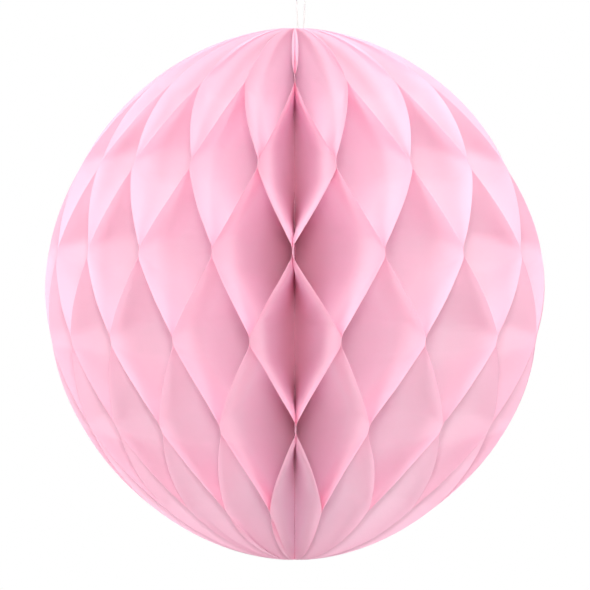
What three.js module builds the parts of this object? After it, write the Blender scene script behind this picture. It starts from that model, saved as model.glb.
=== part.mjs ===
// Honeycomb paper ball, opened out and hung on its thread.
// Millimetres. +Z runs up the ball's own axis, and the origin is the ball's centre.
//
// Half-round tissue leaves stand around a bound spine like the pages of a book that
// is opened until its two covers meet back to back. The covers stand on the +Y side.
// Each leaf is glued to its neighbours along level lines: at one line to the leaf
// before it, at the next line to the leaf after it. Between the lines it crosses
// over, so the outer edges make a net of diamond cells. Past the last glue line a
// pair of leaves stays closed up to the pole.
import * as THREE from 'three';

// Outline of the ball, which is the outline that the flat pack is cut to
const poleHeight = 100;
const equatorRadius = 94;
const outlinePower = 1.9;
const leafTipWidth = 1.5;

// Tissue leaves, a little thicker than real tissue so that each is a sound solid
const leafCount = 36;
const leafThickness = 0.2;
const leafGapAtSpine = 0.42;

// The ball isn't opened quite evenly: its cells stand wider on one side and narrower
// on the other, by this turn (in radians), from this place in the stack of leaves
const unevenTurn = 0.157;
const unevenPhase = 0.52;

// Glue lines
const gluePitch = 32.4;
const glueShift = -0.9;
const glueLineHeight = 3;
const glueGap = 0.3;
const gluePoleMargin = 10;

// Rows of points up a leaf: from one glue line to the next, and past the last one
const rowsBetweenLines = 3;
const rowsToPole = 4;

// Card covers and the sticky pads that hold them together
const coverThickness = 0.3;
const coverOutlineSteps = 28;
const padThickness = 0.3;
const padWidth = 12;
const padHeight = 20;
const padSpacing = 55;
const padEdgeMargin = 6;

// Paper strip that binds the spine, rolled up tight into a core with a small bore
const fitGap = 0.3;
const spineBore = 1.9;
const spineSlotWidth = 0.6;
const spineArcSteps = 12;

// Hanging thread. It runs through a hole in both covers, and a knot closes its loop
const threadDiameter = 0.5;
const threadSides = 8;
const stepsPerThreadPoint = 2;
const threadBendDepth = 7.3;
const holeDiameter = 3;
const holeReach = 9.5;
const knotWidth = 1.8;
const knotHeight = 3;

// Places along the thread, from the knot down through the covers, up over the
// hanging bight and back to the knot. They are measured from the middle of the
// bend at the covers: x across the covers, z up.
const threadPoints = [
  [2.12, 30.2], [1.94, 26.4], [1.74, 22.0], [1.52, 17.0], [1.30, 12.0],
  [1.12, 7.6], [1.05, 4.0], [1.05, 1.5], [1.05, 0],
  [0.909, -0.525], [0.525, -0.909], [0, -1.05], [-0.525, -0.909], [-0.909, -0.525],
  [-1.05, 0], [-1.05, 1.5], [-1.05, 4.0], [-1.12, 7.6], [-1.30, 12.0],
  [-1.52, 17.0], [-1.74, 22.0], [-2.02, 28.5], [-2.32, 35.0], [-2.62, 41.5],
  [-2.90, 47.0], [-3.0, 50.0], [-2.60, 51.5], [-1.50, 52.6], [0, 53.0],
  [1.50, 52.6], [2.60, 51.5], [3.0, 50.0], [2.88, 46.5], [2.68, 42.0],
  [2.48, 37.6], [2.32, 33.8],
];
const knotPlace = [2.22, 32.0];

// Derived sizes
const coverStackHalf = coverThickness + padThickness / 2;
const bondHalf = (leafThickness + glueGap) / 2;
const coverBondOffset = coverStackHalf + glueGap / 2;
const spineLength = leafCount * (leafThickness + leafGapAtSpine) + 2 * coverBondOffset;
const leafInnerRadius = spineLength / (2 * Math.PI);
const tipRadius = leafInnerRadius + leafTipWidth;

// Distance from the axis to the outer edge at a height, and the reverse
function outlineRadius(height) {
  const rest = 1 - Math.abs(height / poleHeight) ** outlinePower;
  return equatorRadius * rest ** (1 / outlinePower);
}

function outlineHeight(radius) {
  const rest = 1 - (radius / equatorRadius) ** outlinePower;
  return poleHeight * rest ** (1 / outlinePower);
}

// The outline as a turn from the equator, 0, to the pole, a quarter turn, and back.
// Equal turns give close points where the outline curves most.
function turnAtHeight(height) {
  const share = Math.abs(height / poleHeight) ** (outlinePower / 2);
  return Math.sign(height) * Math.asin(share);
}

function heightAtTurn(turn) {
  return Math.sign(turn) * poleHeight * Math.abs(Math.sin(turn)) ** (2 / outlinePower);
}

const tipHeight = outlineHeight(tipRadius);

// Glue lines from the lowest to the highest. Even ones join leaf 1 to leaf 2,
// leaf 3 to leaf 4 and so on, and odd ones join the cover to leaf 1, leaf 2 to
// leaf 3 and so on.
function makeGlueLines() {
  const lines = [];
  const reach = tipHeight - gluePoleMargin - glueLineHeight / 2;
  const most = Math.ceil(poleHeight / gluePitch);
  for (let index = -most; index <= most; index++) {
    const height = glueShift + (index + 0.5) * gluePitch;
    if (Math.abs(height) <= reach) lines.push({ index, height });
  }
  return lines;
}

// Rows up a leaf, each with its height and how far the leaf leans there from the
// glue line below, 0, to the glue line above, 1.
function makeLeafRows(lines) {
  const rows = [];
  const half = glueLineHeight / 2;
  const first = lines[0];
  const last = lines[lines.length - 1];
  const turnLow = turnAtHeight(first.height - half);
  const turnHigh = turnAtHeight(last.height + half);
  const tipTurn = turnAtHeight(tipHeight);
  for (let step = 0; step < rowsToPole; step++) {
    const turn = -tipTurn + (turnLow + tipTurn) * (step / rowsToPole);
    rows.push({ height: heightAtTurn(turn), below: first, above: first, share: 0 });
  }
  for (const [place, line] of lines.entries()) {
    rows.push({ height: line.height - half, below: line, above: line, share: 0 });
    rows.push({ height: line.height + half, below: line, above: line, share: 0 });
    const next = lines[place + 1];
    if (!next) continue;
    const from = line.height + half;
    const to = next.height - half;
    for (let step = 1; step < rowsBetweenLines; step++) {
      const share = step / rowsBetweenLines;
      rows.push({ height: from + (to - from) * share, below: line, above: next, share });
    }
  }
  for (let step = 1; step <= rowsToPole; step++) {
    const turn = turnHigh + (tipTurn - turnHigh) * (step / rowsToPole);
    rows.push({ height: heightAtTurn(turn), below: last, above: last, share: 0 });
  }
  return rows;
}

const glueLines = makeGlueLines();
const leafRows = makeLeafRows(glueLines);

// Which neighbour a leaf is glued to at a line: 1 is the next leaf, -1 the one before
function leanAtLine(leaf, line) {
  return Math.abs(leaf + line.index) % 2 === 1 ? 1 : -1;
}

function leanAtRow(leaf, row) {
  const below = leanAtLine(leaf, row.below);
  const above = leanAtLine(leaf, row.above);
  return below + (above - below) * row.share;
}

// Angle from the +Y covers, turning towards +X, of a place in the stack of leaves.
// The share runs from 0 at one cover to 1 at the other, and the pack of covers
// takes its own width out of the turn.
function angleInStack(share, radius) {
  const coverAngle = Math.asin(coverBondOffset / radius);
  const even = coverAngle + share * 2 * (Math.PI - coverAngle);
  const shift = Math.cos(unevenPhase) - Math.cos(2 * Math.PI * share + unevenPhase);
  return even + unevenTurn * shift;
}

// Point in the middle of a leaf's thickness, before it is moved off the glue line
function placeInStack(share, radius, offset) {
  const angle = angleInStack(share, radius);
  const x = radius * Math.sin(angle) + offset * Math.cos(angle);
  const y = radius * Math.cos(angle) - offset * Math.sin(angle);
  return new THREE.Vector2(x, y);
}

// Four corners of a leaf's section at a row: it runs straight from the spine to the
// outer edge, which swings from one glue plane to the other.
function leafSection(leaf, row) {
  const middle = (leaf - 0.5) / leafCount;
  const lean = leanAtRow(leaf, row);
  const outerShare = middle + lean / (2 * leafCount);
  const inner = placeInStack(middle, leafInnerRadius, 0);
  const outer = placeInStack(outerShare, outlineRadius(row.height), -lean * bondHalf);
  const along = outer.clone().sub(inner).normalize();
  const across = new THREE.Vector2(-along.y, along.x);
  return { inner, outer, across };
}

// A box splits the cells of its two broad sides along opposite diagonals. A leaf is
// twisted, so both sides have to bend along the same one to keep its thickness.
function matchDiagonals(geometry) {
  const { index, groups } = geometry;
  const farSide = groups[3];
  const cornersPerCell = 6;
  for (let start = farSide.start; start < farSide.start + farSide.count; start += cornersPerCell) {
    const [a, b, d, c] = [0, 1, 2, 4].map((corner) => index.getX(start + corner));
    [a, b, c, a, c, d].forEach((point, corner) => index.setX(start + corner, point));
  }
}

// One leaf: a box with one cell per row, with each point moved to its place
function leafGeometry(leaf) {
  const intervals = leafRows.length - 1;
  const geometry = new THREE.BoxGeometry(1, 1, 1, 1, 1, intervals);
  matchDiagonals(geometry);
  const position = geometry.attributes.position;
  for (let point = 0; point < position.count; point++) {
    const row = leafRows[Math.round((position.getZ(point) + 0.5) * intervals)];
    const section = leafSection(leaf, row);
    const end = position.getX(point) > 0 ? section.outer : section.inner;
    const side = position.getY(point) > 0 ? 1 : -1;
    const place = end.clone().addScaledVector(section.across, side * leafThickness / 2);
    position.setXYZ(point, place.x, place.y, row.height);
  }
  geometry.computeVertexNormals();
  return geometry;
}

// Where the thread turns back through the covers. The hole's top is level with the
// middle of the bend, so the thread passes under it and clears the card all round.
const threadBend = new THREE.Vector3(0, holeReach, outlineHeight(holeReach) - threadBendDepth);
const holeCentreHeight = threadBend.z - holeDiameter / 2;

// A cover lies flat in the YZ plane: the leaf's outline, with the thread's hole
function coverGeometry() {
  const outline = new THREE.Shape();
  const tipTurn = turnAtHeight(tipHeight);
  outline.moveTo(leafInnerRadius, -tipHeight);
  for (let step = 0; step <= coverOutlineSteps; step++) {
    const height = heightAtTurn(tipTurn * (2 * step / coverOutlineSteps - 1));
    outline.lineTo(outlineRadius(height), height);
  }
  outline.lineTo(leafInnerRadius, tipHeight);
  outline.closePath();
  const hole = new THREE.Path();
  hole.absarc(holeReach, holeCentreHeight, holeDiameter / 2, 0, 2 * Math.PI, true);
  outline.holes.push(hole);
  return new THREE.ExtrudeGeometry(outline, {
    depth: coverThickness,
    bevelEnabled: false,
    curveSegments: spineArcSteps / 2,
  });
}

// Turns a shape drawn flat so that it stands in the YZ plane, its thickness along +X
const standInCoverPlane = new THREE.Quaternion().setFromRotationMatrix(
  new THREE.Matrix4().makeBasis(
    new THREE.Vector3(0, 1, 0), new THREE.Vector3(0, 0, 1), new THREE.Vector3(1, 0, 0)));

// The binding strip: a thick tube with a slot along it, where its ends meet the covers
function spineGeometry() {
  const outerRadius = leafInnerRadius - fitGap;
  const innerRadius = spineBore / 2;
  const outerTurn = Math.asin(spineSlotWidth / 2 / outerRadius);
  const innerTurn = Math.asin(spineSlotWidth / 2 / innerRadius);
  const coverSide = Math.PI / 2;
  const wholeTurn = 2 * Math.PI;
  const section = new THREE.Shape();
  section.absarc(0, 0, outerRadius, coverSide + outerTurn, coverSide + wholeTurn - outerTurn, false);
  section.absarc(0, 0, innerRadius, coverSide + wholeTurn - innerTurn, coverSide + innerTurn, true);
  section.closePath();
  const geometry = new THREE.ExtrudeGeometry(section, {
    depth: 2 * tipHeight,
    bevelEnabled: false,
    curveSegments: spineArcSteps,
  });
  geometry.translate(0, 0, -tipHeight);
  return geometry;
}

function padGeometry() {
  return new THREE.BoxGeometry(padThickness, padWidth, padHeight);
}

// The thread's path. Its steps follow the points and not its length, so the tight
// bend at the covers gets as many as a long straight stretch.
class ThreadPath extends THREE.CatmullRomCurve3 {
  getUtoTmapping(share) {
    return share;
  }
}

function threadPlace([across, up]) {
  return new THREE.Vector3(across, 0, up).add(threadBend);
}

function threadGeometry() {
  const path = new ThreadPath(threadPoints.map(threadPlace));
  const section = new THREE.Shape();
  for (let side = 0; side < threadSides; side++) {
    const angle = side * 2 * Math.PI / threadSides;
    const x = threadDiameter / 2 * Math.cos(angle);
    const y = threadDiameter / 2 * Math.sin(angle);
    if (side === 0) section.moveTo(x, y);
    else section.lineTo(x, y);
  }
  section.closePath();
  return new THREE.ExtrudeGeometry(section, {
    steps: stepsPerThreadPoint * (threadPoints.length - 1),
    extrudePath: path,
    bevelEnabled: false,
  });
}

function knotGeometry() {
  const geometry = new THREE.SphereGeometry(0.5, 10, 8);
  geometry.rotateX(Math.PI / 2);
  geometry.scale(knotWidth, knotWidth, knotHeight);
  return geometry;
}

function tissueMaterial() {
  return new THREE.MeshStandardMaterial({
    color: '#fdb7d0', roughness: 0.85, metalness: 0, side: THREE.DoubleSide,
  });
}

function cardMaterial() {
  return new THREE.MeshStandardMaterial({ color: '#f6f2ee', roughness: 0.7, metalness: 0 });
}

function bindingMaterial() {
  return new THREE.MeshStandardMaterial({ color: '#f9c1d5', roughness: 0.8, metalness: 0 });
}

function padMaterial() {
  return new THREE.MeshStandardMaterial({ color: '#eeeae2', roughness: 0.5, metalness: 0 });
}

function threadMaterial() {
  return new THREE.MeshStandardMaterial({ color: '#f4f4f2', roughness: 0.8, metalness: 0 });
}

function namedMesh(name, geometry, material) {
  const mesh = new THREE.Mesh(geometry, material);
  mesh.name = name;
  return mesh;
}

function addLeaves(ball) {
  for (let leaf = 1; leaf <= leafCount; leaf++) {
    const name = `leaf_${String(leaf).padStart(2, '0')}`;
    ball.add(namedMesh(name, leafGeometry(leaf), tissueMaterial()));
  }
}

function addCovers(ball) {
  const places = { cover_right: padThickness / 2, cover_left: -coverStackHalf };
  for (const [name, x] of Object.entries(places)) {
    const cover = namedMesh(name, coverGeometry(), cardMaterial());
    cover.quaternion.copy(standInCoverPlane);
    cover.position.x = x;
    ball.add(cover);
  }
}

// Pads near the covers' outer edge: one at the middle, one above and one below
function addPads(ball) {
  const heights = {
    closing_pad_top: padSpacing, closing_pad_middle: 0, closing_pad_bottom: -padSpacing,
  };
  for (const [name, height] of Object.entries(heights)) {
    const edge = outlineRadius(Math.abs(height) + padHeight / 2);
    const pad = namedMesh(name, padGeometry(), padMaterial());
    pad.position.set(0, edge - padEdgeMargin - padWidth / 2, height);
    ball.add(pad);
  }
}

function addHangingThread(ball) {
  ball.add(namedMesh('hanging_thread', threadGeometry(), threadMaterial()));
  const knot = namedMesh('thread_knot', knotGeometry(), threadMaterial());
  knot.position.copy(threadPlace(knotPlace));
  ball.add(knot);
}

const honeycombBall = new THREE.Group();
addLeaves(honeycombBall);
addCovers(honeycombBall);
addPads(honeycombBall);
honeycombBall.add(namedMesh('spine_binding', spineGeometry(), bindingMaterial()));
addHangingThread(honeycombBall);

export default honeycombBall;
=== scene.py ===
"""Honeycomb paper ball, opened out and hung on its thread.

The frame is in metres, with +Z up the ball's own axis and the origin at its centre. The
tissue leaves stand around a bound spine like the pages of a book that is opened until its
two card covers meet back to back, on the +Y side. Each leaf is glued to its neighbours
along level lines, at one line to the leaf before it and at the next to the leaf after it.
"""

import math
import random

import bmesh
import bpy
from mathutils import Matrix, Vector, noise


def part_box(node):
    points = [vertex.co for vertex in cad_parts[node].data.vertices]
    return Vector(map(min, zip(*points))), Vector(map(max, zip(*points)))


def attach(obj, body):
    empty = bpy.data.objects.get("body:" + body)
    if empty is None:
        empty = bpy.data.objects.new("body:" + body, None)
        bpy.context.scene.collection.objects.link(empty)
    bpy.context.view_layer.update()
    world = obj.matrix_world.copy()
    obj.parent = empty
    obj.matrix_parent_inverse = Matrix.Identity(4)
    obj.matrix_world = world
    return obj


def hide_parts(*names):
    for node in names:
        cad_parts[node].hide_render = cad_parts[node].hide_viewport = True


bl_info = {
    "name": "Honeycomb Paper Ball",
    "version": (1, 0, 0),
    "blender": (4, 5, 0),
    "location": "View3D > Sidebar > Paper Ball",
    "description": "Builds a hung honeycomb ball of glued tissue leaves",
    "category": "Add Mesh",
}

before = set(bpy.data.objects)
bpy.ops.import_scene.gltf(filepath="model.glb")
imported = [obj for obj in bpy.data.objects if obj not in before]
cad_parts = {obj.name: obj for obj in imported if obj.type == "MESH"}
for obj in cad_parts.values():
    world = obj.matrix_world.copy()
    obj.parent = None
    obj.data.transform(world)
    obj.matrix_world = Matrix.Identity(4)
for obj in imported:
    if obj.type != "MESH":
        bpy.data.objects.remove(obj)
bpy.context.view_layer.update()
mm = 0.001

leaf_names = sorted(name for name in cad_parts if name.startswith("leaf_"))
cover_names = ("cover_right", "cover_left")
pad_names = ("closing_pad_top", "closing_pad_middle", "closing_pad_bottom")
tip_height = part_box(leaf_names[0])[1].z

# Places along the thread, from the knot down through the covers, up over the hanging
# bight and back to the knot. They are measured in millimetres from the middle of the
# bend at the covers: x across the covers, z up.
thread_places = [
    (2.12, 30.2), (1.94, 26.4), (1.74, 22.0), (1.52, 17.0), (1.30, 12.0),
    (1.12, 7.6), (1.05, 4.0), (1.05, 1.5), (1.05, 0),
    (0.909, -0.525), (0.525, -0.909), (0, -1.05), (-0.525, -0.909), (-0.909, -0.525),
    (-1.05, 0), (-1.05, 1.5), (-1.05, 4.0), (-1.12, 7.6), (-1.30, 12.0),
    (-1.52, 17.0), (-1.74, 22.0), (-2.02, 28.5), (-2.32, 35.0), (-2.62, 41.5),
    (-2.90, 47.0), (-3.0, 50.0), (-2.60, 51.5), (-1.50, 52.6), (0, 53.0),
    (1.50, 52.6), (2.60, 51.5), (3.0, 50.0), (2.88, 46.5), (2.68, 42.0),
    (2.48, 37.6), (2.32, 33.8),
]
# The place where the thread comes out between the covers, just above the outline.
thread_exit = thread_places[5]

# Where a leaf bulges between its glue lines: how many bulges lie across it, how high each
# is in metres, how far apart the leaves lie in the noise, and the depth of the full bulge.
bulges_across = 2.2
bulge_height = 0.024
leaf_step = 5.3
full_bulge_depth = 0.9

# On the way from its last glue line to the pole a pair of leaves parts most before halfway,
# because this power is under 1. Its leaves bulge this share of what they do between lines.
swell_power = 0.6
end_looseness = 0.35

# Edges bent further than this, in radians, stay crisp.
crisp_angle = 1


def length(name, description, default, **more):
    return bpy.props.FloatProperty(
        name=name, description=description, default=default, unit="LENGTH", precision=5, **more
    )


def number(name, description, default, **more):
    return bpy.props.FloatProperty(name=name, description=description, default=default, **more)


def count(name, description, default, **more):
    return bpy.props.IntProperty(name=name, description=description, default=default, **more)


def colour(name, description, default):
    return bpy.props.FloatVectorProperty(
        name=name, description=description, default=default,
        subtype="COLOR", size=3, min=0.0, max=1.0,
    )


class BallSizes(bpy.types.PropertyGroup):
    """Outline of the ball, how far it is opened, and where its glue lines run"""

    pole_height: length("Pole height", "From the centre to the outline's pole", 0.1)
    equator_radius: length("Equator radius", "From the axis to the outer edges", 0.094)
    outline_power: number("Outline power", "2 is an ellipse, less is more pointed", 1.9)
    inner_radius: length("Inner radius", "From the axis to the leaves' bound edges", 0.0013)
    cover_offset: length(
        "Cover offset", "From the ball's middle plane to the first glue plane", 0.0006
    )
    uneven_turn: number(
        "Uneven turn", "Swing of the leaves that opens the cells wider on one side", 0.157,
        subtype="ANGLE",
    )
    uneven_phase: number(
        "Uneven phase", "Shifts where in the stack the cells open widest", 0.52, subtype="ANGLE"
    )
    glue_pitch: length("Glue pitch", "From one glue line to the next", 0.0324)
    glue_shift: length("Glue shift", "Height of the middle of the glue lines", -0.0009)
    glue_height: length("Glue height", "Height of a glue line", 0.0022)
    lines_each_way: count("Lines each way", "Glue lines above the middle", 3)


class LeafSizes(bpy.types.PropertyGroup):
    """Tissue of the leaves and how freely it was cut, glued and opened"""

    thickness: length("Thickness", "Thickness of a tissue leaf", 0.00005)
    glue_film: length("Glue film", "Gap between two leaves at a glue line", 0.00003)
    rows: count("Rows", "Faces up a leaf", 170)
    columns: count("Columns", "Faces from the spine to the outer edge", 24)
    column_ease: number("Column ease", "How the faces get narrower towards the outer edge", 1.6)
    bend_share: number("Bend share", "Share of the way between glue lines that is a bend", 0.05)
    inner_bend_share: number("Inner bend share", "The same, inside the free lip of the leaf", 0.25)
    lip: number("Lip", "Share of a leaf's width, from its outer edge, that bends freely", 0.45)
    cling_share: number(
        "Cling share", "Share of the way next to a glue line where leaves still cling", 0.11
    )
    cling_lip: number(
        "Cling lip", "Share of a leaf's width that is pulled apart right up to the glue", 0.13
    )
    glue_wander: number(
        "Glue wander", "Largest turn of a glue line out of its place", 0.012, subtype="ANGLE"
    )
    parting: length(
        "Parting", "Most that a leaf parts from its pair between the last glue line and the pole",
        0.0011,
    )
    front_parting: length("Front parting", "The same for the pair that faces the camera", 0.0012)
    front_pair: count("Front pair", "Pair that faces the camera, counted from the covers", 15)
    ripple: length("Ripple", "Most that a leaf bulges between its glue lines", 0.0006)
    seed: count("Seed", "Which ball of its kind this is", 7)


class TrimSizes(bpy.types.PropertyGroup):
    """Covers, pads, spine, thread and knot"""

    hole_radius: length("Hole radius", "Radius of the thread's hole in the covers", 0.0015)
    hole_reach: length("Hole reach", "From the axis to the thread's hole", 0.0095)
    bend_depth: length("Bend depth", "From the outline down to the thread's bend", 0.0073)
    cover_segments: count("Cover segments", "Points along a cover's outline and its hole", 128)
    pad_corner: length("Pad corner", "Radius of a sticky pad's corners", 0.0012)
    strip_turns: count("Strip turns", "Turns of the rolled spine strip", 4)
    strip_thickness: length("Strip thickness", "Thickness of the rolled spine strip", 0.0001)
    roll_clearance: length("Roll clearance", "Between the spine strip and the leaves", 0.00008)
    strip_segments: count("Strip segments", "Steps of a turn of the spine strip", 40)
    thread_diameter: length("Thread diameter", "Width of the twisted thread", 0.0005)
    twist_pitch: length("Twist pitch", "Length of one turn of the thread's plies", 0.0019)
    knot_turns: number("Knot turns", "Turns of thread around the knot", 4.5)
    tail_length: length("Tail length", "Length of the cut ends at the knot", 0.0045)


class BallColours(bpy.types.PropertyGroup):
    """Colours of the papers and the thread, and where in a leaf the tissue changes colour: deeper
    in the cells it is painted paler, as painted light over their shade
    """

    tissue: colour("Tissue", "Colour of the tissue at its outer edges", (0.985, 0.655, 0.785))
    # Painted light: inside the cells and at the spine the tissue is painted paler than at its outer
    # edges, to lift the shade deep in the cells.
    tissue_painted_light_inside: colour("Tissue inside", "Colour inside the cells", (0.998, 0.885, 0.945))
    tissue_painted_light_core: colour("Tissue core", "Colour of the tissue at the spine", (0.985, 0.77, 0.85))
    tissue_glow: colour("Tissue glow", "Light that comes through a tissue leaf", (0.98, 0.72, 0.83))
    see_through: number("See-through", "Share of the light that goes through the tissue", 0.12)
    # Painted light: how far in from the outer edge the paler inside colour, and then the core
    # colour, take over.
    painted_light_fade_depth: length("Rim depth", "From the outer edge to where the inside colour is full", 0.024)
    painted_core_start: length("Core start", "From the outer edge to where the core colour starts", 0.050)
    painted_core_fade_depth: length("Core depth", "From there to where the core colour is full", 0.030)
    glue_edge: length("Glue edge", "Width of a glue line's soft edge", 0.0005)
    card: colour("Card", "Colour of the covers", (0.86, 0.82, 0.79))
    pad: colour("Pad", "Colour of the sticky pads", (0.80, 0.77, 0.70))
    binding: colour("Binding", "Colour of the spine strip", (0.90, 0.50, 0.62))
    thread: colour("Thread", "Colour of the cotton thread", (0.82, 0.81, 0.79))


class StageSettings(bpy.types.PropertyGroup):
    """Camera, floor and light"""

    view_turn: number(
        "View turn", "Camera's turn from the ball's own front", math.radians(13.2), subtype="ANGLE"
    )
    view_distance: length("View distance", "From the ball's centre to the camera", 2.7)
    view_width: length("View width", "Width of the view at the ball's centre", 0.2218)
    view_drop: length("View drop", "How far below the ball's centre the view's middle is", 0.0004)
    floor_depth: length("Floor depth", "From the ball's centre down to the floor", 0.6)
    floor_radius: length("Floor radius", "Radius of the floor", 1.6)
    floor: colour("Floor", "Colour of the floor", (0.6, 0.6, 0.6))
    sky_light: number("Sky light", "Brightness of the soft light from all around", 0.08)
    front_light: number("Front light", "Brightness of a white sheet that faces this lamp", 0.39)
    near_light: number("Near lights", "The same for each lamp beside the front one", 0.25)
    left_light: number("Left light", "The same for the lamp at the left side", 0.25)
    right_light: number("Right light", "The same for the lamp at the right side", 0.13)
    high_light: number("High light", "The same for the lamp high up in front", 0.28)
    top_light: number("Top light", "The same for the lamp above", 0.30)
    back_light: number("Back lights", "The same for each lamp behind", 0.42)
    lamp_distance: length("Lamp distance", "From the ball's centre to each lamp", 3.0)
    bounces: count("Bounces", "How often light may bounce between the leaves", 20)


groups = {
    "ball": BallSizes,
    "leaf": LeafSizes,
    "trim": TrimSizes,
    "colours": BallColours,
    "stage": StageSettings,
}


def settings(group):
    return getattr(bpy.context.scene, "paper_ball_" + group)


# Shape of the opened stack of leaves

def outline_radius(height):
    """Distance from the axis to the outer edge at a height."""
    ball = settings("ball")
    rest = 1 - abs(height / ball.pole_height) ** ball.outline_power
    return ball.equator_radius * rest ** (1 / ball.outline_power)


def outline_height(radius):
    ball = settings("ball")
    rest = 1 - (radius / ball.equator_radius) ** ball.outline_power
    return ball.pole_height * rest ** (1 / ball.outline_power)


def turn_at_height(height):
    """The outline as a turn from the equator, 0, to the pole, a quarter turn."""
    ball = settings("ball")
    share = abs(height / ball.pole_height) ** (ball.outline_power / 2)
    return math.copysign(math.asin(share), height)


def height_at_turn(turn):
    ball = settings("ball")
    height = ball.pole_height * abs(math.sin(turn)) ** (2 / ball.outline_power)
    return math.copysign(height, turn)


def glue_lines():
    """The glue lines' numbers and heights, from the lowest to the highest."""
    ball = settings("ball")
    numbers = range(-ball.lines_each_way, ball.lines_each_way)
    return [(index, ball.glue_shift + (index + 0.5) * ball.glue_pitch) for index in numbers]


def lean_at_line(leaf, index):
    """Which neighbour a leaf is glued to at a line: 1 is the next leaf, -1 the one before."""
    return 1 if (leaf + index) % 2 == 1 else -1


def stack_angle(share, radius):
    """Angle from the covers, turning towards +X, of a place in the stack of leaves."""
    ball = settings("ball")
    cover_angle = math.asin(ball.cover_offset / radius)
    even = cover_angle + share * 2 * (math.pi - cover_angle)
    swing = math.cos(ball.uneven_phase) - math.cos(2 * math.pi * share + ball.uneven_phase)
    return even + ball.uneven_turn * swing


def stack_place(share, radius, offset):
    """A point in plan, moved off its glue plane by the offset."""
    angle = stack_angle(share, radius)
    return Vector((
        radius * math.sin(angle) + offset * math.cos(angle),
        radius * math.cos(angle) - offset * math.sin(angle),
    ))


def eased(share, bend):
    """A straight run from 0 to 1 with a short bend at each end."""
    speed = 1 / (1 - bend)
    if share < bend:
        return speed * share * share / (2 * bend)
    if share > 1 - bend:
        return 1 - speed * (1 - share) ** 2 / (2 * bend)
    return speed * (share - bend / 2)


def smooth_step(share):
    return share * share * (3 - 2 * share)


def glue_wanders():
    """How far each glue line turns out of its place, as a share of the stack."""
    leaf = settings("leaf")
    chance = random.Random(leaf.seed)
    most = leaf.glue_wander / (2 * math.pi)
    last = len(leaf_names)
    return {
        (bond, index): 0.0 if bond in (0, last) else chance.uniform(-most, most)
        for bond in range(last + 1)
        for index, _ in glue_lines()
    }


def pole_partings():
    """How far each pair of leaves parts past its last glue line, at the top and the bottom."""
    leaf = settings("leaf")
    chance = random.Random(leaf.seed + 1)
    last = len(leaf_names)
    lowest, highest = glue_lines()[0][0], glue_lines()[-1][0]
    partings = {}
    for bond in range(last + 1):
        for index in (lowest, highest):
            parting = leaf.parting * chance.random() ** 2
            partings[bond, index] = 0 if bond in (0, last) else parting
    partings[leaf.front_pair, highest] = leaf.front_parting
    return partings


def column_depth(column):
    """Where a column of a leaf lies, from 0 at the spine to 1 at the outer edge."""
    leaf = settings("leaf")
    return 1 - (1 - column / leaf.columns) ** leaf.column_ease


def glue_plane(leaf, index, wanders):
    """Where in the stack a leaf is glued at a line, which way it leans there, and its pair."""
    lean = lean_at_line(leaf, index)
    bond = leaf if lean == 1 else leaf - 1
    return bond / len(leaf_names) + wanders[bond, index], lean, bond


def crossing(way, depth):
    """How far a leaf has crossed over at a share of its way from one glue line to the next."""
    sizes = settings("leaf")
    held = smooth_step(min((1 - depth) / sizes.lip, 1))
    cling = sizes.cling_share * smooth_step(min((1 - depth) / sizes.cling_lip, 1))
    bend = sizes.bend_share + (sizes.inner_bend_share - sizes.bend_share) * held
    return eased(min(max((way - cling) / (1 - 2 * cling), 0), 1), bend)


def end_swell(height, last_line):
    """How far apart a pair is, from 0 to 1, between its last glue line and the pole."""
    past = last_line + math.copysign(settings("ball").glue_height / 2, last_line)
    start = turn_at_height(past)
    end = turn_at_height(math.copysign(tip_height, last_line))
    way = (turn_at_height(height) - start) / (end - start)
    return math.sin(math.pi * min(max(way, 0), 1) ** swell_power)


def leaf_row(leaf, height, wanders, partings):
    """A leaf's section at a height: its points from the spine out, and how loose it is."""
    ball, sizes = settings("ball"), settings("leaf")
    lines, half = glue_lines(), ball.glue_height / 2
    bond_half = (sizes.thickness + sizes.glue_film) / 2
    radius = outline_radius(height)
    depths = [column_depth(column) for column in range(sizes.columns + 1)]
    low = [line for line in lines if line[1] - half <= height]
    high = [line for line in lines if line[1] + half > height]
    ends = []
    if low and high and low[-1] != high[0]:
        share_low, lean_low, _ = glue_plane(leaf, low[-1][0], wanders)
        share_high, lean_high, _ = glue_plane(leaf, high[0][0], wanders)
        bottom, top = low[-1][1] + half, high[0][1] - half
        way = (height - bottom) / (top - bottom)
        loose = math.sin(math.pi * way) ** 2
        for depth in depths:
            run = crossing(way, depth)
            share = share_low + (share_high - share_low) * run
            lean = lean_low + (lean_high - lean_low) * run
            ends.append(stack_place(share, radius, -lean * bond_half))
    else:
        index, line_height = lines[0] if not low else low[-1]
        share, lean, bond = glue_plane(leaf, index, wanders)
        parted = loose = 0
        if not (low and high):
            swell = end_swell(height, line_height)
            parted, loose = partings[bond, index] * swell, end_looseness * swell
        for depth in depths:
            held = smooth_step(min((1 - depth) / sizes.cling_lip, 1))
            ends.append(stack_place(share, radius, -lean * (bond_half + parted * (1 - held))))
    inner = stack_place((leaf - 0.5) / len(leaf_names), ball.inner_radius, 0)
    return [inner.lerp(end, depth) for depth, end in zip(depths, ends)], loose


# Pieces

def thickened(shape, thickness):
    """Gives an open sheet its thickness, half to each side, with crisp rims."""
    shape.normal_update()
    for vert in shape.verts:
        vert.co += vert.normal * (thickness / 2)
    bmesh.ops.solidify(shape, geom=shape.faces[:], thickness=thickness)
    shape.normal_update()
    for edge in shape.edges:
        edge.smooth = edge.calc_face_angle(0) < crisp_angle
    return shape


def finish_piece(name, shape, material, node, smooth=True):
    """Turns a bmesh into a piece that stands for its node and rides on the ball."""
    mesh = bpy.data.meshes.new(name)
    shape.to_mesh(mesh)
    shape.free()
    piece = bpy.data.objects.new(name, mesh)
    bpy.context.scene.collection.objects.link(piece)
    for face in mesh.polygons:
        face.use_smooth = smooth
    mesh.materials.append(material)
    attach(piece, "root")
    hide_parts(node)
    return piece


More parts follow.
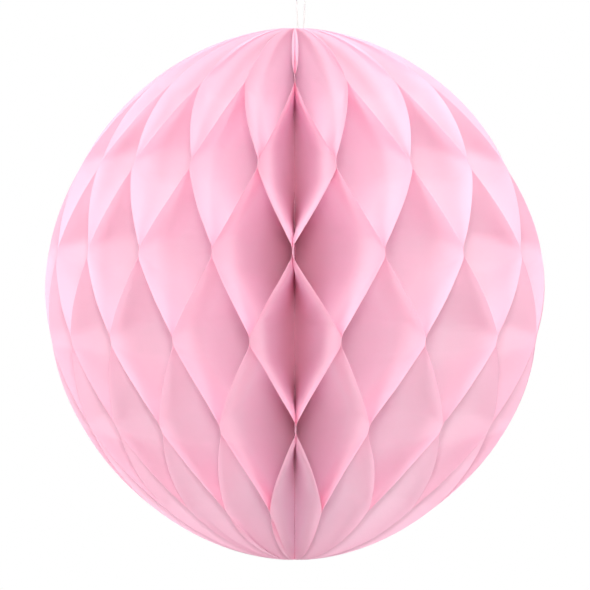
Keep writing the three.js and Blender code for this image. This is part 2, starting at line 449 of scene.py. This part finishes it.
def leaf_mesh(leaf, wanders, partings):
    """One half-round tissue leaf, from the spine to its outer edge, without its thickness."""
    ball, sizes = settings("ball"), settings("leaf")
    shape = bmesh.new()
    bmesh.ops.create_grid(
        shape, x_segments=sizes.columns, y_segments=sizes.rows, size=1, calc_uvs=False
    )
    end_turn = turn_at_height(tip_height)
    sections, flat = {}, {}
    for vert in shape.verts:
        row = round((vert.co.y + 1) / 2 * sizes.rows)
        column = round((vert.co.x + 1) / 2 * sizes.columns)
        depth = column_depth(column)
        if row not in sections:
            height = height_at_turn(end_turn * (2 * row / sizes.rows - 1))
            sections[row] = (height, *leaf_row(leaf, height, wanders, partings))
        height, points, loose = sections[row]
        run = points[-1] - points[0]
        across = Vector((-run.y, run.x)).normalized()
        spot = Vector((depth * bulges_across, height / bulge_height, leaf * leaf_step))
        grown = math.sin(math.pi * min(depth, full_bulge_depth) / (2 * full_bulge_depth))
        place = points[column] + across * (sizes.ripple * loose * noise.noise(spot) * grown)
        flat[vert] = (ball.inner_radius + run.length * depth, height)
        vert.co = (place.x, place.y, height)
    sheet = shape.loops.layers.uv.new("Sheet")
    for face in shape.faces:
        for corner in face.loops:
            corner[sheet].uv = flat[corner.vert]
    return shape


# Shader maths and materials

class Value:
    """A node's output that takes part in Python arithmetic by adding Math nodes."""

    def __init__(self, tree, socket):
        self.tree = tree
        self.socket = socket

    def maths(self, operation, *values, clamp=False):
        made = self.tree.nodes.new("ShaderNodeMath")
        made.operation = operation
        made.use_clamp = clamp
        for place, value in enumerate(values):
            if isinstance(value, Value):
                self.tree.links.new(value.socket, made.inputs[place])
            else:
                made.inputs[place].default_value = value
        return Value(self.tree, made.outputs[0])

    def __add__(self, other):
        return self.maths("ADD", self, other)

    def __radd__(self, other):
        return self.maths("ADD", other, self)

    def __sub__(self, other):
        return self.maths("SUBTRACT", self, other)

    def __rsub__(self, other):
        return self.maths("SUBTRACT", other, self)

    def __mul__(self, other):
        return self.maths("MULTIPLY", self, other)

    def __rmul__(self, other):
        return self.maths("MULTIPLY", other, self)

    def __truediv__(self, other):
        return self.maths("DIVIDE", self, other)

    def __rtruediv__(self, other):
        return self.maths("DIVIDE", other, self)

    def __pow__(self, other):
        return self.maths("POWER", self, other)

    def __abs__(self):
        return self.maths("ABSOLUTE", self)

    def clamped(self):
        return self.maths("ADD", self, 0.0, clamp=True)

    def fraction(self):
        return self.maths("FRACT", self)


class Finish:
    """A node tree that is filled by one method for every kind of node."""

    def __init__(self, tree):
        self.tree = tree
        tree.nodes.clear()

    @classmethod
    def material(cls, name):
        made = bpy.data.materials.new(name)
        made.use_nodes = True
        finish = cls(made.node_tree)
        finish.result = made
        return finish

    def add(self, kind, options=(), sockets=()):
        """A node with its settings and the values or links of its sockets."""
        made = self.tree.nodes.new(kind)
        for name, value in dict(options).items():
            setattr(made, name, value)
        for name, value in dict(sockets).items():
            if isinstance(value, Value):
                self.tree.links.new(value.socket, made.inputs[name])
            else:
                made.inputs[name].default_value = value
        return made

    def out(self, node, name=0):
        return Value(self.tree, node.outputs[name])

    def object_place(self):
        return self.out(self.add("ShaderNodeTexCoord"), "Object")

    def sheet_place(self, layer):
        return self.out(self.add("ShaderNodeUVMap", {"uv_map": layer}), "UV")

    def stretched(self, vector, scale):
        options = {"vector_type": "POINT"}
        return self.out(self.add("ShaderNodeMapping", options, {"Vector": vector, "Scale": scale}))

    def noise(self, vector, scale, detail, roughness=0.5):
        sockets = {"Vector": vector, "Scale": scale, "Detail": detail, "Roughness": roughness}
        return self.out(self.add("ShaderNodeTexNoise", {"normalize": True}, sockets), 0)

    def mixed(self, factor, first, second):
        """A colour between two."""
        options = {"data_type": "RGBA", "clamp_factor": True}
        return self.out(self.add("ShaderNodeMix", options, {0: factor, 6: first, 7: second}), 2)

    def parts(self, vector):
        made = self.add("ShaderNodeSeparateXYZ", (), {0: vector})
        return [self.out(made, place) for place in range(3)]

    def bump(self, height, distance, strength):
        sockets = {"Height": height, "Distance": distance, "Strength": strength}
        return self.out(self.add("ShaderNodeBump", (), sockets))

    def shader(self, kind, sockets):
        return self.out(self.add(kind, (), sockets))

    def between(self, share, first, second):
        """A surface between two shaders."""
        return self.shader("ShaderNodeMixShader", {0: share, 1: first, 2: second})

    def ended(self, surface):
        """The finished material."""
        self.add("ShaderNodeOutputMaterial", (), {"Surface": surface})
        return self.result

    def paper(self, base, roughness, normal, glow=None, glow_share=0.0):
        """A matt surface, with light that comes through it where a glow is given."""
        surface = self.shader("ShaderNodeBsdfPrincipled", {
            "Base Color": base, "Roughness": roughness, "Specular IOR Level": 0.25,
            "Normal": normal,
        })
        if glow is not None:
            through = self.shader("ShaderNodeBsdfTranslucent", {"Color": glow})
            surface = self.between(glow_share, surface, through)
        return self.ended(surface)

    def grained(self, grain, rgb, darkest, roughness, depth, strength):
        """Opaque paper or thread, shaded and roughened by its grain."""
        base = self.mixed(grain, shaded(rgb, darkest), opaque(rgb))
        return self.paper(base, roughness, self.bump(grain, depth, strength))


def opaque(rgb):
    return (rgb[0], rgb[1], rgb[2], 1.0)


def shaded(rgb, factor):
    return (rgb[0] * factor, rgb[1] * factor, rgb[2] * factor, 1.0)


def tissue_material():
    """Thin pink tissue: cloudy pulp, fine fibres along the sheet, faint glue lines, and painted
    light that makes it paler deeper in the cells.
    """
    # How far the clouds, the fibres and the glue shift the tone, how much of the colour the
    # tone changes, and the brightness of the darkest pulp as a share of the tissue's.
    cloud_tone, fibre_tone, glue_tone, tone_share, darkest = 0.5, 0.4, 0.08, 0.15, 0.9
    colours, ball = settings("colours"), settings("ball")
    finish = Finish.material("tissue_paper")
    sheet = finish.sheet_place("Sheet")
    reach, height, _ = finish.parts(sheet)
    rest = 1 - (abs(height) / ball.pole_height) ** ball.outline_power
    depth = rest ** (1 / ball.outline_power) * ball.equator_radius - reach
    # Painted light: shares that grow with the depth into a cell, where the cell lies in shade. They
    # paint the tissue paler there.
    painted_light_mask = (depth / colours.painted_light_fade_depth).clamped()
    painted_core_mask = ((depth - colours.painted_core_start) / colours.painted_core_fade_depth).clamped()
    cloud = finish.noise(sheet, 90, detail=3.0)
    fibre = finish.noise(finish.stretched(sheet, (900, 2600, 1)), 1, detail=2.0, roughness=0.6)
    line = (height - ball.glue_shift) / ball.glue_pitch
    from_line = abs(line.fraction() - 0.5) * ball.glue_pitch
    glued = ((ball.glue_height / 2 - from_line) / colours.glue_edge).clamped()
    grain = (cloud - 0.5) * cloud_tone + (fibre - 0.5) * fibre_tone
    tone = (grain + 0.5 - glued * glue_tone).clamped()
    # Painted light: deeper in a cell the tissue is painted paler than its own colour, and a little
    # less pale again towards the spine.
    inside = finish.mixed(painted_core_mask, opaque(colours.tissue_painted_light_inside), opaque(colours.tissue_painted_light_core))
    pulp = finish.mixed(painted_light_mask, opaque(colours.tissue), inside)
    share = 1 - tone_share + tone * tone_share
    base = finish.mixed(share, shaded(colours.tissue, darkest), pulp)
    normal = finish.bump(fibre * 0.6 + cloud * 0.4, 0.00002, 0.5)
    roughness = 0.9 - glued * 0.12
    return finish.paper(base, roughness, normal, opaque(colours.tissue_glow), colours.see_through)


def card_material():
    finish = Finish.material("white_card")
    pulp = finish.noise(finish.object_place(), 1800, detail=3.0)
    return finish.grained(
        pulp, settings("colours").card, darkest=0.94, roughness=0.72, depth=0.00003, strength=0.6
    )


def pad_material():
    finish = Finish.material("foam_tape")
    cells = finish.noise(finish.object_place(), 4200, detail=1.0)
    return finish.grained(
        cells, settings("colours").pad, darkest=0.9, roughness=0.6, depth=0.00005, strength=0.7
    )


def binding_material():
    finish = Finish.material("binding_paper")
    along = finish.stretched(finish.object_place(), (1, 1, 0.25))
    fibre = finish.noise(along, 1600, detail=3.0)
    return finish.grained(
        fibre, settings("colours").binding, darkest=0.9, roughness=0.8, depth=0.00004, strength=0.6
    )


def thread_material():
    finish = Finish.material("cotton_thread")
    fuzz = finish.noise(finish.object_place(), 5200, detail=3.0, roughness=0.6)
    return finish.grained(
        fuzz, settings("colours").thread, darkest=0.86, roughness=0.9, depth=0.00005, strength=0.8
    )


def stage_material():
    """Pale floor that keeps its shadow and fades into the white background."""
    # The share of plain white that the camera sees over the lit floor near the ball, and
    # where that share starts to grow and how far on it is full, in floor radii.
    plain_share, fade_start, fade_width = 0.55, 0.35, 0.5
    stage = settings("stage")
    finish = Finish.material("studio_floor")
    place = finish.object_place()
    measured = finish.add("ShaderNodeVectorMath", {"operation": "LENGTH"}, {0: place})
    away = finish.out(measured, "Value") / stage.floor_radius
    fade = ((away - fade_start) / fade_width).clamped()
    lit = finish.shader(
        "ShaderNodeBsdfPrincipled", {"Base Color": opaque(stage.floor), "Roughness": 0.9}
    )
    plain = finish.shader("ShaderNodeEmission", {"Color": (1, 1, 1, 1), "Strength": 1.0})
    seen = finish.out(finish.add("ShaderNodeLightPath"), "Is Camera Ray")
    share = (seen * (plain_share + (1 - plain_share) * fade)).clamped()
    return finish.ended(finish.between(share, lit, plain))


# Thread

def thread_bend():
    """Where the thread turns back through the covers."""
    trim = settings("trim")
    return Vector((0, trim.hole_reach, outline_height(trim.hole_reach) - trim.bend_depth))


def thread_point(place):
    """A place along the thread, in metres."""
    across, up = place
    return thread_bend() + Vector((across * mm, 0, up * mm))


def thread_path(step):
    """Evenly spaced points along the thread's smooth route."""
    curve = bpy.data.curves.new("thread_route", "CURVE")
    curve.dimensions = "3D"
    curve.resolution_u = 24
    route = curve.splines.new("BEZIER")
    route.bezier_points.add(len(thread_places) - 1)
    for point, place in zip(route.bezier_points, thread_places):
        point.co = thread_point(place)
        point.handle_left_type = point.handle_right_type = "AUTO"
    holder = bpy.data.objects.new("thread_route", curve)
    bpy.context.scene.collection.objects.link(holder)
    bpy.context.view_layer.update()
    mesh = bpy.data.meshes.new_from_object(
        holder.evaluated_get(bpy.context.evaluated_depsgraph_get())
    )
    line = [vert.co.copy() for vert in mesh.vertices]
    bpy.data.objects.remove(holder)
    bpy.data.curves.remove(curve)
    bpy.data.meshes.remove(mesh)
    along = [0.0]
    for start, end in zip(line, line[1:]):
        along.append(along[-1] + (end - start).length)
    steps = round(along[-1] / step)
    points, place = [], 0
    for index in range(steps + 1):
        wanted = along[-1] * index / steps
        while place < len(line) - 2 and along[place + 1] < wanted:
            place += 1
        share = (wanted - along[place]) / (along[place + 1] - along[place])
        points.append(line[place].lerp(line[place + 1], share))
    return points, along[-1]


def twisted_thread(path, span):
    """Three plies twisted around each other along the path, which lies in one plane."""
    trim = settings("trim")
    plies, around = 3, 8
    ply_share = math.sin(math.pi / plies) / (1 + math.sin(math.pi / plies))
    ply_radius = trim.thread_diameter / 2 * ply_share
    ply_reach = trim.thread_diameter / 2 - ply_radius
    # The plies are a little too wide, so that they press into each other.
    pressed_radius = ply_radius * 1.08
    steps = len(path) - 1
    plane = Vector((0, 1, 0))
    stations = []
    for before, point, after in zip([path[0], *path], path, [*path[1:], path[-1]]):
        stations.append((point, plane.cross((after - before).normalized())))
    shape = bmesh.new()
    for ply in range(plies):
        sheet = bmesh.ops.create_grid(shape, x_segments=around, y_segments=steps, size=1)
        for vert in sheet["verts"]:
            index = round((vert.co.y + 1) / 2 * steps)
            twist = 2 * math.pi * (ply / plies + span * index / steps / trim.twist_pitch)
            turn = math.pi * vert.co.x
            out = ply_reach + pressed_radius * math.cos(turn)
            round_ply = pressed_radius * math.sin(turn)
            point, side = stations[index]
            vert.co = (
                point
                + side * (out * math.cos(twist) - round_ply * math.sin(twist))
                + plane * (out * math.sin(twist) + round_ply * math.cos(twist))
            )
    bmesh.ops.remove_doubles(shape, verts=shape.verts, dist=trim.thread_diameter / 100)
    bmesh.ops.holes_fill(shape, edges=[edge for edge in shape.edges if edge.is_boundary])
    bmesh.ops.recalc_face_normals(shape, faces=shape.faces)
    return shape


def knot_mesh():
    """The thread wound around its two strands, with two cut ends."""
    steps_a_turn, inset = 20, 1.05
    trim = settings("trim")
    low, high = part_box("thread_knot")
    centre = (low + high) / 2
    radius = trim.thread_diameter / 2
    wind_radius = (high.x - low.x) / 2 - radius * inset
    wind_height = high.z - low.z - 2 * radius
    core_height = high.z - low.z - radius
    shape = bmesh.new()

    def tube(start, centre, axis, angle, steps, climb=0):
        """Sweeps a round section from its start about an axis, and up as it goes."""
        ring = bmesh.ops.create_circle(
            shape, cap_ends=False, segments=12, radius=radius, matrix=start
        )["verts"]
        edges = list({edge for vert in ring for edge in vert.link_edges})
        cap = bmesh.ops.contextual_create(shape, geom=edges)["faces"]
        bmesh.ops.spin(
            shape, geom=cap + edges + ring, cent=centre, axis=axis, dvec=(0, 0, climb / steps),
            angle=angle, steps=steps, use_duplicate=False,
        )

    up = (0, 0, 1)
    upright = Matrix.Rotation(math.pi / 2, 4, "X")
    tube(
        Matrix.Translation(centre + Vector((wind_radius, 0, -wind_height / 2))) @ upright, centre,
        up, 2 * math.pi * trim.knot_turns, round(trim.knot_turns * steps_a_turn), wind_height,
    )
    # A straight core stands for the two strands inside the winding.
    tube(
        Matrix.Translation(centre + Vector((0, 0, -core_height / 2))),
        centre, up, math.pi / 8, 4, core_height,
    )
    # The cut ends, each by its side and its droop in radians. They lean out of the covers'
    # plane and start near the winding's ends. An arc of one radian is as long as its radius.
    lean, end_share, arc = 0.35, 0.3, 1.0
    for side, droop in ((1, 0.75), (-1, 0.35)):
        out = Vector((side * math.cos(droop), lean * side, -math.sin(droop))).normalized()
        turn = out.to_track_quat("Z", "X").to_matrix().to_4x4()
        start = centre + Vector((0, 0, side * wind_height * end_share)) + out * wind_radius
        curl = out.orthogonal().normalized()
        bend_centre = start + curl * trim.tail_length
        tube(Matrix.Translation(start) @ turn, bend_centre, out.cross(curl), arc, 12)
    bmesh.ops.recalc_face_normals(shape, faces=shape.faces)
    return shape


# Covers, pads and spine

def card_reach(hole, ray, inner_edge):
    """How far a card reaches from its hole along a ray, found by halving."""
    near, far = 0, 2 * settings("ball").pole_height
    for _ in range(40):
        middle = (near + far) / 2
        spot = hole + ray * middle
        inside = spot.y >= inner_edge and abs(spot.z) <= tip_height
        if inside and spot.y <= outline_radius(spot.z):
            near = middle
        else:
            far = middle
    return near


def cover_mesh(name):
    """A half-round card with the thread's hole."""
    trim = settings("trim")
    low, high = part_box(name)
    plane = (low.x + high.x) / 2
    hole = Vector((plane, trim.hole_reach, thread_bend().z - trim.hole_radius))
    facing = Matrix.Translation(hole) @ Matrix.Rotation(math.pi / 2, 4, "Y")
    shape = bmesh.new()
    bmesh.ops.create_circle(
        shape, cap_ends=False, segments=trim.cover_segments, radius=trim.hole_radius, matrix=facing
    )
    outline = bmesh.ops.create_circle(
        shape, cap_ends=False, segments=trim.cover_segments, radius=1, matrix=facing
    )["verts"]
    for vert in outline:
        ray = (vert.co - hole).normalized()
        vert.co = hole + ray * card_reach(hole, ray, low.y)
    bmesh.ops.bridge_loops(shape, edges=shape.edges[:])
    bmesh.ops.recalc_face_normals(shape, faces=shape.faces)
    return thickened(shape, high.x - low.x)


def pad_mesh(name):
    """A sticky pad with rounded corners and a slightly soft edge."""
    # The soft edge's share of the thickness, and the least angle of a rim, in radians.
    soft_share, rim_angle = 0.18, 1.2
    trim = settings("trim")
    low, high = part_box(name)
    size = high - low
    shape = bmesh.new()
    bmesh.ops.create_cube(
        shape, size=1, matrix=Matrix.Translation((low + high) / 2) @ Matrix.Diagonal((*size, 1))
    )
    upright = [
        edge for edge in shape.edges
        if abs(edge.verts[0].co.x - edge.verts[1].co.x) > size.x / 2
    ]
    bmesh.ops.bevel(
        shape, geom=upright, offset=trim.pad_corner, offset_type="OFFSET", segments=6,
        profile=0.5, affect="EDGES", material=-1,
    )
    rims = [edge for edge in shape.edges if edge.calc_face_angle(0) > rim_angle]
    bmesh.ops.bevel(
        shape, geom=rims, offset=size.x * soft_share, offset_type="OFFSET", segments=2,
        profile=0.5, affect="EDGES", material=-1,
    )
    return shape


def spine_mesh():
    """The binding strip, rolled up from around a small hollow to the leaves' bound edges."""
    hollow_share = 0.3
    trim = settings("trim")
    low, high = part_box("spine_binding")
    outer = settings("ball").inner_radius - trim.roll_clearance - trim.strip_thickness / 2
    inner = outer * hollow_share
    steps = trim.strip_turns * trim.strip_segments
    shape = bmesh.new()
    strip_end = [shape.verts.new((0, inner, height)) for height in (low.z, high.z)]
    end_edges = [shape.edges.new(strip_end)]
    for step in range(1, steps + 1):
        grown = bmesh.ops.extrude_edge_only(shape, edges=end_edges)["geom"]
        verts = [part for part in grown if isinstance(part, bmesh.types.BMVert)]
        end_edges = [part for part in grown if isinstance(part, bmesh.types.BMEdge)]
        radius = inner + (outer - inner) * step / steps
        angle = math.pi / 2 + 2 * math.pi * trim.strip_turns * step / steps
        for vert in verts:
            vert.co.x = radius * math.cos(angle)
            vert.co.y = radius * math.sin(angle)
    bmesh.ops.recalc_face_normals(shape, faces=shape.faces)
    return thickened(shape, trim.strip_thickness)


# Steps that build the stage and the pieces

class PAPERBALL_OT_stage(bpy.types.Operator):
    """Set up the camera, the floor and the soft light"""

    bl_idname = "paper_ball.stage"
    bl_label = "Stage"

    def execute(self, context):
        stage = settings("stage")
        scene = context.scene
        scene.view_settings.view_transform = "Standard"
        scene.cycles.max_bounces = stage.bounces
        scene.cycles.diffuse_bounces = stage.bounces
        scene.cycles.transmission_bounces = stage.bounces
        self.add_camera(scene, stage)
        self.add_floor(scene, stage)
        self.add_light(scene, stage)
        return {"FINISHED"}

    def add_camera(self, scene, stage):
        lens = bpy.data.cameras.new("camera")
        lens.sensor_width = 36
        lens.lens = lens.sensor_width * stage.view_distance / stage.view_width
        lens.clip_end = 20
        camera = bpy.data.objects.new("camera", lens)
        side = Vector((math.sin(stage.view_turn), -math.cos(stage.view_turn), 0))
        camera.location = side * stage.view_distance - Vector((0, 0, stage.view_drop))
        camera.rotation_euler = (-side).to_track_quat("-Z", "Y").to_euler()
        scene.collection.objects.link(camera)
        scene.camera = camera

    def add_floor(self, scene, stage):
        shape = bmesh.new()
        bmesh.ops.create_circle(
            shape, cap_ends=True, segments=96, radius=stage.floor_radius,
            matrix=Matrix.Translation((0, 0, -stage.floor_depth)),
        )
        mesh = bpy.data.meshes.new("floor")
        shape.to_mesh(mesh)
        shape.free()
        mesh.materials.append(stage_material())
        floor = bpy.data.objects.new("floor", mesh)
        scene.collection.objects.link(floor)

    def add_light(self, scene, stage):
        world = bpy.data.worlds.new("studio")
        scene.world = world
        world.use_nodes = True
        finish = Finish(world.node_tree)
        white = (1, 1, 1, 1)
        sky = finish.shader("ShaderNodeBackground", {"Color": white, "Strength": stage.sky_light})
        backdrop = finish.shader("ShaderNodeBackground", {"Color": white, "Strength": 1.0})
        rays = finish.add("ShaderNodeLightPath")
        through = finish.out(rays, "Is Transmission Ray") * (1 - finish.out(rays, "Is Diffuse Ray"))
        seen = finish.out(rays, "Is Camera Ray") + finish.out(rays, "Is Glossy Ray") + through
        surface = finish.between(seen.clamped(), sky, backdrop)
        finish.add("ShaderNodeOutputWorld", (), {"Surface": surface})
        # Each lamp's turn to the camera's right, its height and its width, all in degrees as
        # seen from the ball, and its brightness.
        for name, turn, lift, spread, strength in (
            ("lamp_front", 0, 4, 8, stage.front_light),
            ("lamp_near_left", -34, 14, 18, stage.near_light),
            ("lamp_near_right", 34, 14, 18, stage.near_light),
            ("lamp_left", -50, 18, 24, stage.left_light),
            ("lamp_right", 50, 18, 24, stage.right_light),
            ("lamp_high", 0, 50, 34, stage.high_light),
            ("lamp_top", 0, 85, 34, stage.top_light),
            ("lamp_back", 180, 20, 34, stage.back_light),
            ("lamp_back_left", -125, 20, 30, stage.back_light),
            ("lamp_back_right", 125, 20, 30, stage.back_light),
        ):
            self.add_lamp(scene, stage, name, turn, lift, spread, strength)

    def add_lamp(self, scene, stage, name, turn, lift, spread, strength):
        """A round soft lamp that lights a white sheet which faces it to the given strength."""
        angle = stage.view_turn + math.radians(turn)
        rise = math.radians(lift)
        side = Vector((
            math.sin(angle) * math.cos(rise), -math.cos(angle) * math.cos(rise), math.sin(rise),
        ))
        light = bpy.data.lights.new(name, "AREA")
        light.shape = "DISK"
        light.size = 2 * stage.lamp_distance * math.tan(math.radians(spread / 2))
        light.energy = strength * (math.pi * stage.lamp_distance) ** 2
        lamp = bpy.data.objects.new(name, light)
        lamp.location = side * stage.lamp_distance
        lamp.rotation_euler = (-side).to_track_quat("-Z", "Y").to_euler()
        lamp.visible_camera = False
        scene.collection.objects.link(lamp)


class PAPERBALL_OT_thread(bpy.types.Operator):
    """Twist the hanging thread and tie its knot"""

    bl_idname = "paper_ball.thread"
    bl_label = "Hanging Thread"

    def execute(self, context):
        trim = settings("trim")
        steps_a_turn = 14
        material = thread_material()
        knot = finish_piece("thread_knot_tied", knot_mesh(), material, "thread_knot")
        path, span = thread_path(trim.twist_pitch / steps_a_turn)
        twisted = twisted_thread(path, span)
        thread = finish_piece(
            "hanging_thread_twisted", twisted, material, "hanging_thread"
        )
        leaving = thread_point(thread_exit)
        return {"FINISHED"}


class PAPERBALL_OT_leaves(bpy.types.Operator):
    """Cut, glue and open out the tissue leaves"""

    bl_idname = "paper_ball.leaves"
    bl_label = "Tissue Leaves"

    def execute(self, context):
        material = tissue_material()
        wanders, partings = glue_wanders(), pole_partings()
        for leaf, name in enumerate(leaf_names, start=1):
            sheet = thickened(leaf_mesh(leaf, wanders, partings), settings("leaf").thickness)
            finish_piece("tissue_" + name, sheet, material, name)
        return {"FINISHED"}


class PAPERBALL_OT_covers(bpy.types.Operator):
    """Cut the two half-round card covers"""

    bl_idname = "paper_ball.covers"
    bl_label = "Card Covers"

    def execute(self, context):
        material = card_material()
        for name in cover_names:
            finish_piece("card_" + name, cover_mesh(name), material, name, smooth=False)
        return {"FINISHED"}


class PAPERBALL_OT_pads(bpy.types.Operator):
    """Cut the sticky pads between the covers"""

    bl_idname = "paper_ball.pads"
    bl_label = "Sticky Pads"

    def execute(self, context):
        material = pad_material()
        for name in pad_names:
            finish_piece("soft_" + name, pad_mesh(name), material, name)
        return {"FINISHED"}


class PAPERBALL_OT_spine(bpy.types.Operator):
    """Roll up the binding strip inside the leaves"""

    bl_idname = "paper_ball.spine"
    bl_label = "Rolled Spine"

    def execute(self, context):
        material = binding_material()
        finish_piece("rolled_spine_binding", spine_mesh(), material, "spine_binding")
        return {"FINISHED"}


operators = (
    PAPERBALL_OT_stage,
    PAPERBALL_OT_thread,
    PAPERBALL_OT_leaves,
    PAPERBALL_OT_covers,
    PAPERBALL_OT_pads,
    PAPERBALL_OT_spine,
)


class PAPERBALL_PT_panel(bpy.types.Panel):
    """Sizes, colours and building steps of the paper ball"""

    bl_idname = "PAPERBALL_PT_panel"
    bl_label = "Honeycomb Paper Ball"
    bl_space_type = "VIEW_3D"
    bl_region_type = "UI"
    bl_category = "Paper Ball"

    def draw(self, context):
        for operator in operators:
            self.layout.operator(operator.bl_idname)
        for group in groups:
            box = self.layout.box()
            box.label(text=group.capitalize())
            owner = settings(group)
            for name in owner.bl_rna.properties.keys():
                if name not in ("rna_type", "name"):
                    box.prop(owner, name)


def register():
    for group, kind in groups.items():
        bpy.utils.register_class(kind)
        setattr(bpy.types.Scene, "paper_ball_" + group, bpy.props.PointerProperty(type=kind))
    for kind in (*operators, PAPERBALL_PT_panel):
        bpy.utils.register_class(kind)


def unregister():
    for kind in (PAPERBALL_PT_panel, *reversed(operators)):
        bpy.utils.unregister_class(kind)
    for group, kind in groups.items():
        delattr(bpy.types.Scene, "paper_ball_" + group)
        bpy.utils.unregister_class(kind)


def main():
    register()
    bpy.ops.paper_ball.stage()
    bpy.ops.paper_ball.thread()
    bpy.ops.paper_ball.leaves()
    bpy.ops.paper_ball.covers()
    bpy.ops.paper_ball.pads()
    bpy.ops.paper_ball.spine()


if __name__ == "__main__":
    main()
